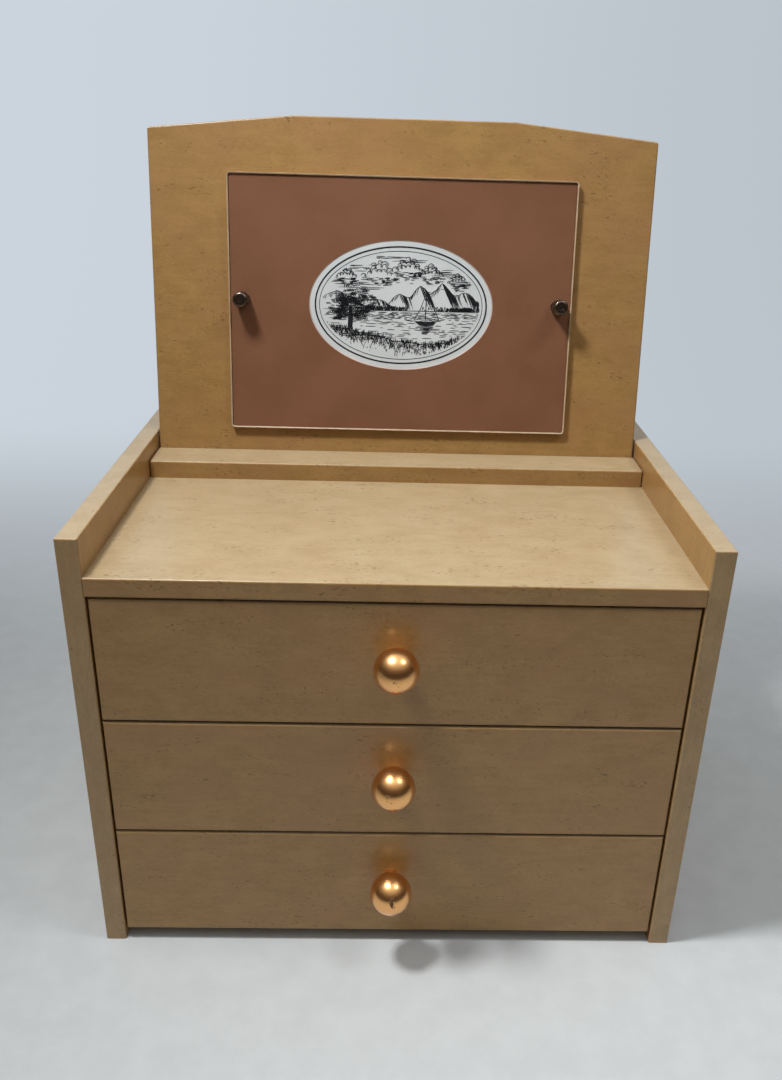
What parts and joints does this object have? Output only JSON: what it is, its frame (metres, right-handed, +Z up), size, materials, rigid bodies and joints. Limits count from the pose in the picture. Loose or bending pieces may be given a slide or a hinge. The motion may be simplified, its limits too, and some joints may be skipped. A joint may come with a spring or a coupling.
{
  "type": "vanity box with mirror",
  "caption": "Tabletop vanity cabinet with sliding drawers, ball knobs, a railed top shelf and a leaning board that carries a removable picture and mirror plate.",
  "frame": {"origin": "on the floor, under the middle of the whole object's box", "axes": "+Z up, +X to the right as seen from the front, the drawers face -Y"},
  "size_m": [0.316, 0.2436, 0.4235],
  "materials": {
    "lacquered_maple": "semi-gloss tan lacquer over fine-flecked maple",
    "plain_wood": "bare sanded wood and plywood",
    "copper_gold_knobs": "polished rose gold plate",
    "bronze_screws": "dark antique bronze",
    "steel_fixings": "zinc-plated",
    "brass_inserts": "plain brass",
    "felt_lining": "short felt",
    "pale_rim": "satin cream",
    "picture_glass": "clear, polished",
    "terracotta_mat": "terracotta mat board with a pale core",
    "white_print": "white card with black line printing",
    "mirror_glass": "silvered, polished"
  },
  "bodies": {
    "cabinet": {"side_panel_left": "lacquered_maple", "side_panel_right": "lacquered_maple", "top_shelf": "lacquered_maple", "ledge": "lacquered_maple", "bottom_board": "plain_wood", "back_board": "plain_wood", "board_dowels": "plain_wood", "back_pins": "steel_fixings", "mirror_board": "lacquered_maple", "support_block_left": "lacquered_maple", "support_block_right": "lacquered_maple", "block_screws": "steel_fixings", "insert_left": "brass_inserts", "insert_right": "brass_inserts", "runner_bottom_left": "plain_wood", "runner_bottom_right": "plain_wood", "runner_middle_left": "plain_wood", "runner_middle_right": "plain_wood", "runner_top_left": "plain_wood", "runner_top_right": "plain_wood", "runner_screws": "steel_fixings"},
    "drawer_bottom": {"drawer_bottom_front": "lacquered_maple", "drawer_bottom_side_left": "plain_wood", "drawer_bottom_side_right": "plain_wood", "drawer_bottom_back": "plain_wood", "drawer_bottom_floor": "plain_wood", "drawer_bottom_lining": "felt_lining", "drawer_bottom_knob": "copper_gold_knobs", "drawer_bottom_knob_screw": "steel_fixings"},
    "drawer_middle": {"drawer_middle_front": "lacquered_maple", "drawer_middle_side_left": "plain_wood", "drawer_middle_side_right": "plain_wood", "drawer_middle_back": "plain_wood", "drawer_middle_floor": "plain_wood", "drawer_middle_lining": "felt_lining", "drawer_middle_knob": "copper_gold_knobs", "drawer_middle_knob_screw": "steel_fixings"},
    "drawer_top": {"drawer_top_front": "lacquered_maple", "drawer_top_side_left": "plain_wood", "drawer_top_side_right": "plain_wood", "drawer_top_back": "plain_wood", "drawer_top_floor": "plain_wood", "drawer_top_lining": "felt_lining", "drawer_top_knob": "copper_gold_knobs", "drawer_top_knob_screw": "steel_fixings"},
    "picture_plate": {"plate_rim": "pale_rim", "picture_glass": "picture_glass", "picture_mat": "terracotta_mat", "picture_print": "white_print", "mirror_glass": "mirror_glass"},
    "thumb_screw_left": {"thumb_screw_left": "bronze_screws"},
    "thumb_screw_right": {"thumb_screw_right": "bronze_screws"}
  },
  "joints": [
    {"name": "drawer_bottom_slide", "type": "slide", "parent": "cabinet", "child": "drawer_bottom", "axis": [0, -1, 0], "range_m": [0, 0.15]},
    {"name": "drawer_middle_slide", "type": "slide", "parent": "cabinet", "child": "drawer_middle", "axis": [0, -1, 0], "range_m": [0, 0.15]},
    {"name": "drawer_top_slide", "type": "slide", "parent": "cabinet", "child": "drawer_top", "axis": [0, -1, 0], "range_m": [0, 0.15]},
    {"name": "plate_pull", "type": "slide", "parent": "cabinet", "child": "picture_plate", "axis": [0, -0.9871, 0.1599], "range_m": [0, 0.06]},
    {"name": "thumb_screw_left_turn", "type": "hinge", "parent": "picture_plate", "child": "thumb_screw_left", "pos_m": [-0.0932, 0.07454, 0.32364], "axis": [0, -0.9871, 0.1599], "continuous": true},
    {"name": "thumb_screw_right_turn", "type": "hinge", "parent": "picture_plate", "child": "thumb_screw_right", "pos_m": [0.0932, 0.07454, 0.32364], "axis": [0, -0.9871, 0.1599], "continuous": true}
  ]
}
